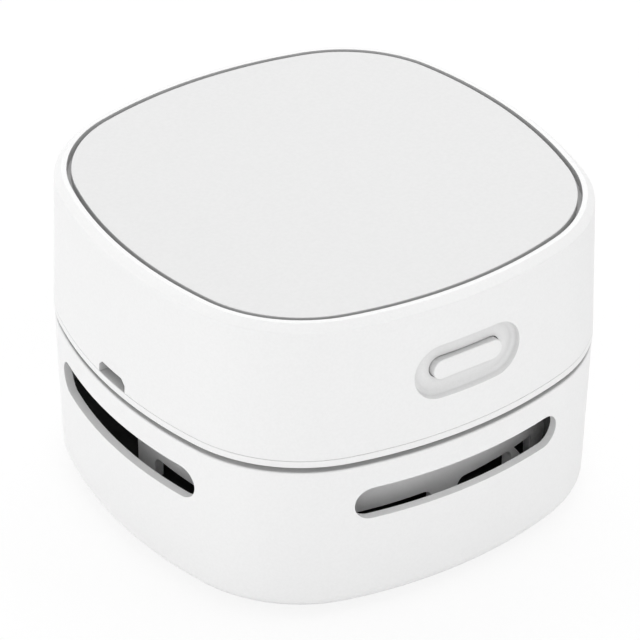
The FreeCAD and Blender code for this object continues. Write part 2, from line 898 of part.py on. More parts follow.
def motor_can():
    """The steel can, closed at its lower end but for the nose bearing."""
    can = can_shape(motor_radius, motor_flat_half, motor_low, motor_top)
    inner, inner_flat = motor_radius - motor_skin, motor_flat_half - motor_skin
    can = can.cut(can_shape(inner, inner_flat, motor_low + motor_skin, motor_top + overrun))
    can = can.fuse(rod(motor_nose_radius, motor_cup_low, motor_low + motor_skin))
    can = can.cut(rod(shaft_radius + running_gap, motor_cup_low - overrun, motor_top))
    for x in (-motor_screw_reach, motor_screw_reach):
        can = can.cut(screw_hole(motor_screw, x, 0, motor_low - overrun, motor_low + overrun))
    return can.removeSplitter()


def motor_end_cap():
    """The moulded cap with the rear bearing."""
    top = motor_top + end_cap_height
    cap = can_shape(motor_radius, motor_flat_half, motor_top, top)
    cap = cap.fuse(rod(motor_nose_radius, top, top + end_cap_nose_height))
    inner, inner_flat = motor_radius - 2 * motor_skin, motor_flat_half - 2 * motor_skin
    cap = cap.cut(can_shape(inner, inner_flat, motor_top - overrun, motor_top + end_cap_height / 2))
    cap = cap.cut(rod(shaft_radius + running_gap, motor_top, top + running_gap))
    return cap.removeSplitter()


def motor_brushes():
    """Two sprung leaves that hang from the cap beside the commutator."""
    near = commutator_radius + running_gap
    low, high = commutator_low + commutator_height / 2, motor_top + end_cap_height / 2
    leaf = block(near, near + brush_thickness, -brush_width / 2, brush_width / 2, low, high)
    return Part.makeCompound([leaf, about_z(leaf, 180.0)])


def motor_terminals():
    """The two tabs that the motor leads are soldered to."""
    low = motor_top + end_cap_height
    half, side = terminal_width / 2, terminal_thickness / 2
    tabs = []
    for x in (-terminal_reach, terminal_reach):
        tabs.append(block(x - half, x + half, -side, side, low, low + terminal_height))
    return Part.makeCompound(tabs)


def motor_magnets():
    """Two curved magnets on the round sides of the can."""
    outer = motor_radius - motor_skin
    low, high = motor_low + motor_skin, motor_low + motor_skin + magnet_height
    space = can_shape(outer, motor_flat_half - motor_skin, low, high)
    magnets = []
    for middle in (0.0, 180.0):
        start, end = middle - magnet_sweep / 2, middle + magnet_sweep / 2
        magnets.append(sector(outer, outer - magnet_thickness, start, end, low, high).common(space))
    return Part.makeCompound(magnets)


def pole_turns():
    return [90.0 + step * 360.0 / pole_count for step in range(pole_count)]


def armature_core():
    """The laminated core: poles with curved shoes around a hub."""
    low, high = armature_low, armature_top
    core = rod(armature_hub_radius, low, high)
    inner = armature_radius - pole_shoe
    for turn in pole_turns():
        neck = block(0, armature_radius - pole_shoe / 2, -pole_neck / 2, pole_neck / 2, low, high)
        start, end = turn - pole_shoe_sweep / 2, turn + pole_shoe_sweep / 2
        core = core.fuse(about_z(neck, turn)).fuse(sector(armature_radius, inner, start, end, low, high))
    return core.removeSplitter().cut(rod(shaft_radius, low - overrun, high + overrun))


def armature_windings():
    """The copper wound on the poles, a plain coil on each."""
    low, high = armature_low - winding_overhang, armature_top + winding_overhang
    outer = armature_radius - pole_shoe - winding_gap
    inner = armature_hub_radius + winding_gap
    half = pole_neck / 2 + pole_shoe
    wedge = 180.0 / pole_count - math.degrees(winding_gap / inner)
    coils = []
    for turn in pole_turns():
        coil = about_z(block(inner, outer, -half, half, low, high), turn)
        coil = coil.common(sector(outer, inner, turn - wedge, turn + wedge, low, high))
        neck = block(0, armature_radius, -pole_neck / 2, pole_neck / 2, armature_low, armature_top)
        coils.append(coil.cut(about_z(neck, turn)))
    return Part.makeCompound(coils)


def commutator():
    """The copper cylinder that the brushes run on."""
    return tube(commutator_radius, shaft_radius, commutator_low, commutator_low + commutator_height)


def motor_shaft():
    """The shaft from the rear bearing down to the fan's hub."""
    return rod(shaft_radius, impeller_low, motor_top + end_cap_height)


def motor_sleeve():
    """The rubber sleeve that holds the can in its cup."""
    low = motor_low + sleeve_rise
    sleeve = rod(motor_radius + sleeve_thickness, low, rim_top)
    return sleeve.cut(can_shape(motor_radius, motor_flat_half, low - overrun, rim_top + overrun))


def motor_screws():
    seat = motor_cup_low + motor_screw[1]
    return Part.makeCompound([screw(motor_screw, x, 0, seat) for x in (-motor_screw_reach, motor_screw_reach)])


# Fan wheel

def blade_face(shift):
    """Three points along one face of a blade: inner end, middle and outer end."""
    points = []
    for share in (0.0, 0.5, 1.0):
        radius = blade_inner_radius + share * (impeller_radius - blade_inner_radius)
        angle = blade_sweep * share ** blade_bend_share + math.degrees(shift / radius)
        points.append(polar(radius, angle, impeller_low))
    return points


def blade():
    """One backward curved blade, sunk a little into the disc."""
    one = blade_face(blade_thickness / 2)
    other = blade_face(-blade_thickness / 2)
    edges = [
        Part.Arc(*one).toShape(),
        Part.LineSegment(one[2], other[2]).toShape(),
        Part.Arc(other[2], other[1], other[0]).toShape(),
        Part.LineSegment(other[0], one[0]).toShape(),
    ]
    return Part.Face(Part.Wire(edges)).extrude(V(0, 0, blade_height + blade_sink))


def impeller():
    """The fan wheel: a disc above curved blades, pushed on the motor shaft."""
    wheel = rod(impeller_radius, disc_low, disc_top).fuse(rod(hub_radius, impeller_low, disc_top))
    for step in range(blade_count):
        wheel = wheel.fuse(about_z(blade(), step * 360.0 / blade_count))
    wheel = wheel.common(rod(impeller_radius, impeller_low, disc_top))
    return wheel.removeSplitter().cut(rod(shaft_radius, impeller_low - overrun, disc_top + overrun))


# Battery

def battery_cell():
    """A small lithium cell lying across the back of the head."""
    end = cell_length / 2
    body = bar_along_x(cell_radius, -end, end, cell_y, cell_z)
    body = body.makeFillet(cell_edge, [e for e in body.Edges if len(e.Vertexes) == 1])
    cap = bar_along_x(cell_cap_radius, end - cell_cap_height, end + cell_cap_height, cell_y, cell_z)
    return body.fuse(cap).removeSplitter()


def battery_tabs():
    """Nickel strips welded to the ends of the cell."""
    half = tab_width / 2
    right, left = cell_length / 2 + cell_cap_height, -cell_length / 2
    low, high = cell_z - tab_drop, cell_z + cell_cap_radius
    tabs = []
    for x in (right, left - tab_thickness):
        tabs.append(block(x, x + tab_thickness, cell_y - half, cell_y + half, low, high))
    return Part.makeCompound(tabs)


def battery_strap():
    """A springy strap over the cell, standing on the chassis."""
    half = strap_width / 2
    outer = cell_radius + strap_thickness
    arch = bar_along_x(outer, -half, half, cell_y, cell_z)
    arch = arch.fuse(block(-half, half, cell_y - outer, cell_y + outer, rim_top, cell_z))
    arch = arch.cut(bar_along_x(cell_radius, -strap_width, strap_width, cell_y, cell_z))
    inner = cell_radius
    arch = arch.cut(block(-strap_width, strap_width, cell_y - inner, cell_y + inner, rim_top - overrun, cell_z))
    for front in (cell_y - outer - strap_foot, cell_y + outer):
        arch = arch.fuse(block(-half, half, front, front + strap_foot, rim_top, rim_top + strap_thickness))
    return arch.removeSplitter()


# Main board and charging socket

def board_place(share):
    """A place on the main board, given as shares of its length and width."""
    return board_edge() + share[0] * board_length, (share[1] - 0.5) * board_width


def main_board():
    x0 = board_edge()
    board = block(x0, x0 + board_length, -board_width / 2, board_width / 2, socket_top, board_top)
    for p in board_screw_places():
        board = board.cut(screw_hole(board_screw, p.x, p.y, socket_top - overrun, board_top + overrun))
    return board


def board_screws():
    return Part.makeCompound([screw(board_screw, p.x, p.y, board_top, False) for p in board_screw_places()])


def on_board(place_share, size_share, height):
    """A block standing on the main board."""
    x, y = board_place(place_share)
    length, width = size_share[0] * board_length, size_share[1] * board_width
    return block(x - length / 2, x + length / 2, y - width / 2, y + width / 2, board_top, board_top + height)


def board_chips():
    """The charging, protection and motor driver chips."""
    return Part.makeCompound([on_board(share, chip_size_share, chip_height) for share in chip_place_shares])


def board_coil():
    x, y = board_place(coil_place_share)
    return rod(coil_radius_share * board_length, board_top, board_top + coil_height, x, y)


def board_capacitor():
    x, y = board_place(capacitor_place_share)
    return rod(capacitor_radius_share * board_length, board_top, board_top + capacitor_height, x, y)


def lead_plugs():
    """White connectors for the switch, motor and battery leads."""
    return Part.makeCompound([on_board(share, plug_size_share, plug_height) for share in plug_place_shares])


def socket_mouth():
    """Where the socket's mouth lies: just inside the shell."""
    return -side_reach(shell_half(rim_top) - shell_wall, notch_width / 2) + seat_gap


def usb_shell():
    """The charging socket's metal shell under the board."""
    x0 = socket_mouth()
    half, skin = notch_width / 2, socket_skin
    outer = block(x0, x0 + socket_depth, -half, half, rim_top, socket_top)
    inner_end = x0 + socket_depth - skin
    return outer.cut(block(x0 - overrun, inner_end, -half + skin, half - skin, rim_top + skin, socket_top - skin))


def usb_tongue():
    """The moulded tongue inside the charging socket."""
    x1 = socket_mouth() + socket_depth - socket_skin
    middle = (rim_top + socket_top) / 2
    half, side = tongue_width / 2, tongue_thickness / 2
    return block(x1 - tongue_depth, x1, -half, half, middle - side, middle + side)


# Switch and button

def push_switch():
    """The switch body, with the pocket that its plunger slides in."""
    front, half = switch_front(), switch_side / 2
    body = block(-half, half, front, front + switch_depth, button_z - half, button_z + half)
    return body.cut(bar_along_y(plunger_radius + running_gap, front - overrun, front + plunger_pocket, button_z))


def switch_plunger():
    return bar_along_y(plunger_radius, stem_back(), switch_front() + plunger_in, button_z)


def power_button():
    """The pill shaped cap, with a flange that stops on the pad behind its hole and a stem."""
    face = -(shell_half(button_z) - dish_depth) - button_proud
    stop = button_stop()
    cap = pill(button_length, button_height, face, stop, button_z)
    rim = [e for e in cap.Edges if all(abs(v.Y - face) < match for v in e.Vertexes)]
    cap = cap.makeFillet(button_edge, rim)
    margin = 2 * button_flange_margin
    flange_back = stop + button_flange_thickness
    flange = pill(button_length + margin, button_height + margin, stop, flange_back, button_z)
    stem = bar_along_y(button_stem_radius, stop, stem_back(), button_z)
    return cap.fuse(flange).fuse(stem).removeSplitter()


def switch_board():
    """The small upright board that the switch is soldered to."""
    front, half = switch_board_front(), switch_board_half
    return block(-half, half, front, front + board_thickness, rim_top, rim_top + switch_board_rise)


# Leads inside the head

def battery_leads():
    """From the two ends of the cell to the rear connector of the main board."""
    x, y = board_place(plug_place_shares[2])
    plug_top = board_top + plug_height
    high = plug_top + lead_over_plug
    low = cell_z - tab_drop / 2
    left = -cell_length / 2 - tab_thickness
    right = cell_length / 2 + cell_cap_height + tab_thickness
    front = (motor_flat_half + cell_y - cell_radius - saddle_wall) / 2
    beside = (right + saddle_place + saddle_width / 2) / 2
    start = cell_y - tab_width / 2 + lead_radius
    short = lead([
        V(left, start, low), V(left - lead_out, start, low), V(left - lead_out, front, high),
        V(x, y + pin_shift, high), V(x, y + pin_shift, plug_top),
    ])
    long = lead([
        V(right, start, low), V(right + lead_out, start, low), V(right + lead_out, front + lead_out, low),
        V(beside, front, low), V(x + lead_out + lead_beside, front, high),
        V(x, y - pin_shift, high), V(x, y - pin_shift, plug_top),
    ])
    return Part.makeCompound([short, long])


def motor_leads():
    """From the motor's two tabs, halfway up to the panel, to the middle connector of the main board."""
    x, y = board_place(plug_place_shares[1])
    plug_top = board_top + plug_height
    low = motor_top + end_cap_height + terminal_height
    high = (low + panel_low) / 2
    reach = terminal_reach
    near = lead([
        V(-reach, 0, low), V(-reach, 0, high), V(x, y + pin_shift, high), V(x, y + pin_shift, plug_top),
    ])
    far = lead([
        V(reach, 0, low), V(reach, 0, high), V(-reach / 2, -lead_beside, high),
        V(x, y - pin_shift, high), V(x, y - pin_shift, plug_top),
    ])
    return Part.makeCompound([near, far])


def switch_leads():
    """From the switch board to the front connector of the main board."""
    x, y = board_place(plug_place_shares[0])
    plug_top = board_top + plug_height
    back = switch_board_front() + board_thickness
    pieces = []
    for side in (-1, 1):
        start = side * pin_shift - switch_board_half / 2
        level = plug_top + lead_over_plug + side * lead_step
        pieces.append(lead([
            V(start, back, level), V(start, back + lead_out, level), V(x, y - 2 * lead_out, level),
            V(x, y + side * pin_shift, level), V(x, y + side * pin_shift, plug_top),
        ]))
    return Part.makeCompound(pieces)


# Widths that follow
panel_half = shell_half(top_z) - bevel_in - rim_width - panel_groove
lid_window_half = panel_half - panel_ledge
housing_half = cup_half(slot_z) - cup_wall - annulus_width
impeller_radius = housing_half - housing_wall - impeller_gap
motor_cup_radius = motor_radius + sleeve_thickness + motor_cup_wall
cell_length = 2 * (shell_boss_places()[0].x - shell_boss_radius - cell_end_room)
cell_y = board_width / 2 + cell_board_gap + math.sqrt(cell_radius ** 2 - (cell_z - board_top) ** 2)
board_length = -board_edge() - motor_radius - board_motor_gap
saddle_place = motor_radius + board_motor_gap - saddle_board_gap - saddle_width / 2

NODES = (
    lower_shell, brush_ring, bristle_tufts, brush_screws, glide_feet, cup_gasket,
    upper_shell, top_panel, panel_tape, mid_frame, shell_screws,
    fan_housing, housing_screws, inlet_plate, plate_screws, filter_frame, filter_foam,
    motor_can, motor_end_cap, motor_brushes, motor_terminals, motor_magnets, motor_sleeve, motor_screws,
    motor_shaft, armature_core, armature_windings, commutator, impeller,
    battery_cell, battery_tabs, battery_strap,
    main_board, board_screws, board_chips, board_coil, board_capacitor, lead_plugs,
    usb_shell, usb_tongue, switch_board, push_switch, switch_plunger, power_button,
    battery_leads, motor_leads, switch_leads,
)

os.makedirs("parts", exist_ok=True)
for make in NODES:
    shape = make()
    shape.exportStep("parts/" + make.__name__ + ".step")
    box = shape.BoundBox
    print(make.__name__, "solids", len(shape.Solids), "valid", shape.isValid(), "volume", round(shape.Volume, 1),
          "z", round(box.ZMin, 2), round(box.ZMax, 2))
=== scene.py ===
import json
import math
import random

import bpy
from mathutils import Matrix, Vector, noise


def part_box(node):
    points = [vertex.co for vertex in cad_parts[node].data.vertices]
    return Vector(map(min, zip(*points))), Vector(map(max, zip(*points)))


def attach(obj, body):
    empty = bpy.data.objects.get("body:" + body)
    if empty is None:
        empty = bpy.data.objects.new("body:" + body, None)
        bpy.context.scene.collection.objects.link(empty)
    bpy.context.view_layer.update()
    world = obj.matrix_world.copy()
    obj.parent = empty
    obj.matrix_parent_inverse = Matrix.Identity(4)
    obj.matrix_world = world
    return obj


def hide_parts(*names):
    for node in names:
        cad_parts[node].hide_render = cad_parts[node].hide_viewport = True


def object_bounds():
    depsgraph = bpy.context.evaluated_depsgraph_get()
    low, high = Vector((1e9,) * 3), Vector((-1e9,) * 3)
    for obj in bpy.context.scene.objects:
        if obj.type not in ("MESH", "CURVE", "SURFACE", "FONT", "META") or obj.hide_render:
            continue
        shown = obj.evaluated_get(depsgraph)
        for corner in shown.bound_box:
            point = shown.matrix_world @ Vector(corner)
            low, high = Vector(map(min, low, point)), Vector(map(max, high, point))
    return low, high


# Desktop mini vacuum cleaner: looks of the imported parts, in metres
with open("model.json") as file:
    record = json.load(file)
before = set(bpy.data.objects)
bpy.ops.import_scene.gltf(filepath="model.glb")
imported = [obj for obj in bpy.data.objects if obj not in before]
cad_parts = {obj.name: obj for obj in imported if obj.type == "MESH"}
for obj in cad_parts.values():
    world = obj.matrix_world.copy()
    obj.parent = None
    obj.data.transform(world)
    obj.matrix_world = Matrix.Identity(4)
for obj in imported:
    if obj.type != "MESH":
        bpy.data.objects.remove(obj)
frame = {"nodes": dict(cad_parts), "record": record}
cad_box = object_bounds()
nodes = frame["nodes"]
scene = bpy.context.scene
MM = 0.001


# Camera and light

CAMERA_AZIMUTH, CAMERA_ELEVATION, CAMERA_ROLL = (math.radians(a) for a in (-34.7, 33.8, 0.44))
CAMERA_DISTANCE, CAMERA_LENS, SENSOR_WIDTH = 0.580, 207.0, 36.0
CAMERA_ACROSS, CAMERA_UPWARDS = -0.00052, -0.02255
LAMP_DISTANCE, LAMP_AIM_HEIGHT = 1.0, 0.03
FLOOR_REACH, FLOOR_HEIGHT = 4.0, -0.05 * MM
FLOOR_COLOUR = (0.98, 0.98, 0.98, 1)
FLOOR_WHITE_SHARE = 0.86
WHITE = (1, 1, 1, 1)


def aim_camera():
    """The photograph's viewpoint, from fitted angles, distance and shift."""
    azimuth, elevation, roll = CAMERA_AZIMUTH, CAMERA_ELEVATION, CAMERA_ROLL
    back = Vector((
        math.sin(azimuth) * math.cos(elevation),
        -math.cos(azimuth) * math.cos(elevation),
        math.sin(elevation),
    ))
    right = Vector((math.cos(azimuth), math.sin(azimuth), 0))
    up = back.cross(right)
    right, up = (
        right * math.cos(roll) + up * math.sin(roll),
        up * math.cos(roll) - right * math.sin(roll),
    )
    top_centre = Vector((0, 0, cad_box[1].z))
    place = top_centre + right * CAMERA_ACROSS + up * CAMERA_UPWARDS + back * CAMERA_DISTANCE
    data = bpy.data.cameras.new("camera")
    data.lens, data.sensor_width = CAMERA_LENS, SENSOR_WIDTH
    data.clip_start, data.clip_end = 0.01, 20.0
    camera = bpy.data.objects.new("camera", data)
    turn = Matrix((right, up, back)).transposed()
    camera.matrix_world = Matrix.Translation(place) @ turn.to_4x4()
    scene.collection.objects.link(camera)
    scene.camera = camera


def lamp(name, towards, level, size=0.9):
    """A soft lamp: level 1 makes a surface facing it render at its own colour."""
    data = bpy.data.lights.new(name, "AREA")
    data.shape, data.size = "SQUARE", size
    data.energy = level * math.pi ** 2 * LAMP_DISTANCE ** 2
    obj = bpy.data.objects.new(name, data)
    ray = Vector(towards).normalized()
    turn = ray.to_track_quat("Z", "Y").to_matrix().to_4x4()
    place = ray * LAMP_DISTANCE + Vector((0, 0, LAMP_AIM_HEIGHT))
    obj.matrix_world = Matrix.Translation(place) @ turn
    scene.collection.objects.link(obj)


def seen_directly(tree):
    """1 for camera, glossy and transmission rays, which all see the plain background."""
    path = tree.nodes.new("ShaderNodeLightPath")
    total = path.outputs["Is Camera Ray"]
    for name in ("Is Glossy Ray", "Is Transmission Ray"):
        step = tree.nodes.new("ShaderNodeMath")
        step.operation = "MAXIMUM"
        tree.links.new(total, step.inputs[0])
        tree.links.new(path.outputs[name], step.inputs[1])
        total = step.outputs[0]
    return total


def light_world(level):
    """An even sky of the given level, which is plain white where it is seen directly."""
    world = bpy.data.worlds.new("world")
    scene.world = world
    world.use_nodes = True
    tree = world.node_tree
    tree.nodes.clear()
    out = tree.nodes.new("ShaderNodeOutputWorld")
    mix = tree.nodes.new("ShaderNodeMixShader")
    soft = tree.nodes.new("ShaderNodeBackground")
    plain = tree.nodes.new("ShaderNodeBackground")
    soft.inputs["Color"].default_value = WHITE
    soft.inputs["Strength"].default_value = level
    plain.inputs["Color"].default_value = WHITE
    plain.inputs["Strength"].default_value = 1.0
    tree.links.new(seen_directly(tree), mix.inputs[0])
    tree.links.new(soft.outputs[0], mix.inputs[1])
    tree.links.new(plain.outputs[0], mix.inputs[2])
    tree.links.new(mix.outputs[0], out.inputs[0])


def lay_floor():
    """A plain white floor that keeps a soft shadow."""
    mesh = bpy.data.meshes.new("floor")
    reach, z = FLOOR_REACH, FLOOR_HEIGHT
    corners = [(-reach, -reach, z), (reach, -reach, z), (reach, reach, z), (-reach, reach, z)]
    mesh.from_pydata(corners, [], [(0, 1, 2, 3)])
    floor = bpy.data.objects.new("floor", mesh)
    scene.collection.objects.link(floor)
    material = bpy.data.materials.new("floor")
    material.use_nodes = True
    tree = material.node_tree
    tree.nodes.clear()
    out = tree.nodes.new("ShaderNodeOutputMaterial")
    mix = tree.nodes.new("ShaderNodeMixShader")
    matt = tree.nodes.new("ShaderNodeBsdfDiffuse")
    white = tree.nodes.new("ShaderNodeEmission")
    share = tree.nodes.new("ShaderNodeMath")
    share.operation = "MULTIPLY"
    share.inputs[1].default_value = FLOOR_WHITE_SHARE
    matt.inputs["Color"].default_value = FLOOR_COLOUR
    white.inputs["Strength"].default_value = 1.0
    tree.links.new(seen_directly(tree), share.inputs[0])
    tree.links.new(share.outputs[0], mix.inputs[0])
    tree.links.new(matt.outputs[0], mix.inputs[1])
    tree.links.new(white.outputs[0], mix.inputs[2])
    tree.links.new(mix.outputs[0], out.inputs[0])
    mesh.materials.append(material)


scene.view_settings.view_transform = "Standard"
aim_camera()
light_world(level=0.48)
lamp("lamp_above", towards=(0.25, 0.45, 0.86), level=0.50)
lamp("lamp_near", towards=(-0.50, -0.66, 0.56), level=0.16)
lamp("lamp_left", towards=(-0.88, 0.47, 0.10), level=0.44)
lamp("lamp_front", towards=(-0.15, -0.99, 0.10), level=0.26)
lamp("lamp_gleam", towards=(0.47, -0.38, 0.79), level=0.12, size=0.35)
lay_floor()


# Materials

PATTERN_LOW, PATTERN_HIGH = 0.3, 0.7
TINT_LOW, TINT_HIGH = 0.35, 0.65
FLOW_MARK_SIZE, FLOW_MARK_DEPTH, FLOW_MARK_STRENGTH = 0.012, 0.00002, 0.4
STREAK_SCALE, STREAK_SIZE, STREAK_DEPTH, STREAK_STRENGTH = (1, 1, 0.05), 0.0002, 0.000004, 0.6
TARNISH_SIZE = 0.002
# Ambient occlusion range over which the painted shade in hollows fades out
OPEN_LOW, OPEN_HIGH = 0.5, 0.95


class Finish:
    """A procedural material in real lengths: colour, roughness and relief from its own patterns."""

    def __init__(self, name, color, roughness, metallic=0.0):
        self.material = bpy.data.materials.new(name)
        self.material.use_nodes = True
        self.tree = self.material.node_tree
        self.tree.nodes.clear()
        out = self.tree.nodes.new("ShaderNodeOutputMaterial")
        self.shader = self.tree.nodes.new("ShaderNodeBsdfPrincipled")
        self.tree.links.new(self.shader.outputs[0], out.inputs[0])
        self.shader.inputs["Base Color"].default_value = (*color, 1)
        self.shader.inputs["Roughness"].default_value = roughness
        self.shader.inputs["Metallic"].default_value = metallic
        self.shader.inputs["Specular IOR Level"].default_value = 0.5
        self.place = self.tree.nodes.new("ShaderNodeTexCoord").outputs["Object"]
        self.relief = None

    def node(self, kind, **values):
        made = self.tree.nodes.new("ShaderNode" + kind)
        for name, value in values.items():
            setattr(made, name, value)
        return made

    def stretched(self, x, y, z):
        """The place, scaled unevenly, for streaks."""
        mapping = self.node("Mapping")
        mapping.inputs["Scale"].default_value = (x, y, z)
        self.tree.links.new(self.place, mapping.inputs["Vector"])
        return mapping.outputs[0]

    def speckle(self, size, detail=2.0, place=None):
        """Noise whose features are about the given size."""
        made = self.node("TexNoise")
        made.inputs["Scale"].default_value = 1.0 / size
        made.inputs["Detail"].default_value = detail
        self.tree.links.new(place or self.place, made.inputs["Vector"])
        return made.outputs["Fac"]

    def cells(self, size, feature="F1"):
        """Cells of about the given size, as of foam or a board's tracks."""
        made = self.node("TexVoronoi", feature=feature)
        made.inputs["Scale"].default_value = 1.0 / size
        self.tree.links.new(self.place, made.inputs["Vector"])
        return made.outputs["Distance"]

    def layers(self, pitch):
        """Even bands up the height, as of laminations."""
        made = self.node("TexWave", wave_type="BANDS", bands_direction="Z", wave_profile="SIN")
        made.inputs["Scale"].default_value = math.pi / 10 / pitch
        made.inputs["Distortion"].default_value = 0.0
        self.tree.links.new(self.place, made.inputs["Vector"])
        return made.outputs["Fac"]

    def between(self, factor, low, high):
        """A value that goes from low to high with a pattern's usual range."""
        made = self.node("MapRange")
        made.inputs["From Min"].default_value = PATTERN_LOW
        made.inputs["From Max"].default_value = PATTERN_HIGH
        made.inputs["To Min"].default_value = low
        made.inputs["To Max"].default_value = high
        self.tree.links.new(factor, made.inputs["Value"])
        return made.outputs[0]

    def tint(self, factor, one, other):
        """Colour that varies between two tones with a pattern."""
        ramp = self.node("ValToRGB")
        ramp.color_ramp.elements[0].position = TINT_LOW
        ramp.color_ramp.elements[1].position = TINT_HIGH
        ramp.color_ramp.elements[0].color = (*one, 1)
        ramp.color_ramp.elements[1].color = (*other, 1)
        self.tree.links.new(factor, ramp.inputs[0])
        self.tree.links.new(ramp.outputs[0], self.shader.inputs["Base Color"])

    def gloss(self, factor, low, high):
        """Roughness that varies with a pattern."""
        self.tree.links.new(self.between(factor, low, high), self.shader.inputs["Roughness"])

    def bump(self, factor, depth, strength=1.0):
        """Relief of the given depth in metres, added over what is there already."""
        made = self.node("Bump")
        made.inputs["Distance"].default_value = depth
        made.inputs["Strength"].default_value = strength
        self.tree.links.new(factor, made.inputs["Height"])
        if self.relief is not None:
            self.tree.links.new(self.relief, made.inputs["Normal"])
        self.relief = made.outputs[0]
        self.tree.links.new(self.relief, self.shader.inputs["Normal"])


def grey(level):
    return (level, level, level)


def plastic(name, color, roughness, grain=0.00035, depth=0.000012):
    """Moulded plastic: spark grain, faint flow marks and a slight change of tone."""
    made = Finish(name, color, roughness)
    other = tuple(max(0.0, c - 0.02 * max(c, 0.15)) for c in color)
    made.tint(made.speckle(grain * 1.5, 2.0), color, other)
    made.gloss(made.speckle(grain * 3, 2.0), roughness - 0.05, roughness + 0.05)
    made.bump(made.speckle(FLOW_MARK_SIZE, 1.0), FLOW_MARK_DEPTH, FLOW_MARK_STRENGTH)
    made.bump(made.speckle(grain, 2.0), depth)
    return made


def paint_shade_in_hollows(made, reach, least):
    """Painted shade: the base colour darkens by ambient occlusion in gaps, grooves and hollows
    narrower than the reach.
    """
    depth = made.node("AmbientOcclusion", samples=6)
    depth.inputs["Distance"].default_value = reach
    ramp = made.node("MapRange")
    ramp.inputs["From Min"].default_value = OPEN_LOW
    ramp.inputs["From Max"].default_value = OPEN_HIGH
    ramp.inputs["To Min"].default_value = least
    ramp.inputs["To Max"].default_value = 1.0
    tone = made.node("VectorMath", operation="SCALE")
    base = made.shader.inputs["Base Color"]
    made.tree.links.new(depth.outputs["AO"], ramp.inputs["Value"])
    made.tree.links.new(base.links[0].from_socket, tone.inputs[0])
    made.tree.links.new(ramp.outputs[0], tone.inputs["Scale"])
    made.tree.links.new(tone.outputs[0], base)


def metal(name, color, roughness):
    """Drawn or plated metal with fine streaks along its height."""
    made = Finish(name, color, roughness, metallic=1.0)
    streak = made.speckle(STREAK_SIZE, 3.0, made.stretched(*STREAK_SCALE))
    other = tuple(c * 0.88 for c in color)
    made.tint(made.speckle(TARNISH_SIZE, 3.0), color, other)
    made.gloss(streak, roughness - 0.07, roughness + 0.1)
    made.bump(streak, STREAK_DEPTH, STREAK_STRENGTH)
    return made


finishes = {
    "shell_white": plastic("shell_white", grey(0.87), 0.42, grain=0.0003, depth=0.000006),
    "button_white": plastic("button_white", grey(0.86), 0.34, grain=0.0003, depth=0.000004),
    "panel_white": plastic("panel_white", grey(0.745), 0.55, grain=0.00045, depth=0.00001),
    "housing_grey": plastic("housing_grey", grey(0.92), 0.5),
    "black_plastic": plastic("black_plastic", grey(0.02), 0.5, depth=0.00001),
    "foot_rubber": plastic("foot_rubber", grey(0.42), 0.8, depth=0.00002),
    "gasket_rubber": plastic("gasket_rubber", grey(0.55), 0.75, depth=0.00002),
    "black_rubber": plastic("black_rubber", grey(0.02), 0.75, depth=0.00002),
    "screw_steel": metal("screw_steel", grey(0.60), 0.32),
    "can_steel": metal("can_steel", grey(0.66), 0.28),
    "tab_nickel": metal("tab_nickel", (0.70, 0.67, 0.60), 0.25),
    "capacitor_can": metal("capacitor_can", grey(0.78), 0.3),
    "cell_wrap": plastic("cell_wrap", (0.02, 0.12, 0.32), 0.3, grain=0.0012, depth=0.00001),
    "chip_black": plastic("chip_black", grey(0.025), 0.6, grain=0.0002),
    "plug_ivory": plastic("plug_ivory", (0.80, 0.76, 0.64), 0.4),
    "cap_nylon": plastic("cap_nylon", (0.72, 0.71, 0.66), 0.45),
    "tape_film": plastic("tape_film", grey(0.70), 0.3),
    "lead_red": plastic("lead_red", (0.50, 0.015, 0.012), 0.35, grain=0.0006),
}
# Painted shade in the gaps, grooves and hollows of the white plastics
for name in ("shell_white", "button_white", "panel_white"):
    paint_shade_in_hollows(finishes[name], reach=0.003, least=0.66)


def special_finishes():
    """Foam, laminated steel, copper, ferrite, nylon and the boards."""
    foam = Finish("filter_foam", grey(0.06), 0.95)
    foam.tint(foam.cells(0.0009), grey(0.015), grey(0.09))
    foam.bump(foam.cells(0.0009), 0.0006)
    finishes["filter_foam"] = foam
    core = Finish("core_steel", grey(0.42), 0.4, metallic=1.0)
    core.tint(core.layers(0.0004), grey(0.20), grey(0.48))
    core.bump(core.layers(0.0004), 0.00006)
    core.gloss(core.speckle(0.001), 0.35, 0.5)
    finishes["core_steel"] = core
    copper = Finish("copper", (0.72, 0.30, 0.14), 0.28, metallic=1.0)
    copper.tint(copper.speckle(0.0015), (0.75, 0.32, 0.15), (0.60, 0.22, 0.09))
    copper.gloss(copper.speckle(0.0006), 0.22, 0.36)
    finishes["copper"] = copper
    ferrite = Finish("magnet_ferrite", grey(0.05), 0.6)
    ferrite.tint(ferrite.speckle(0.0003), grey(0.035), grey(0.07))
    ferrite.bump(ferrite.speckle(0.0003), 0.00003)
    finishes["magnet_ferrite"] = ferrite
    nylon = Finish("bristle_nylon", grey(0.03), 0.4)
    nylon.tint(nylon.speckle(0.0008), grey(0.02), grey(0.05))
    nylon.bump(nylon.speckle(0.0003), 0.00001)
    finishes["bristle_nylon"] = nylon
    board = Finish("board_green", (0.01, 0.10, 0.04), 0.35)
    tracks = board.cells(0.0026, "DISTANCE_TO_EDGE")
    board.tint(tracks, (0.02, 0.17, 0.06), (0.006, 0.08, 0.03))
    board.bump(tracks, 0.00003)
    board.gloss(board.speckle(0.001), 0.28, 0.42)
    finishes["board_green"] = board


special_finishes()
slots = {part["node"]: part["material_slot"] for part in frame["record"]["subparts"]}
for name, obj in nodes.items():
    obj.data.materials.clear()
    obj.data.materials.append(finishes[slots[name]].material)


# Pieces made here, in millimetres

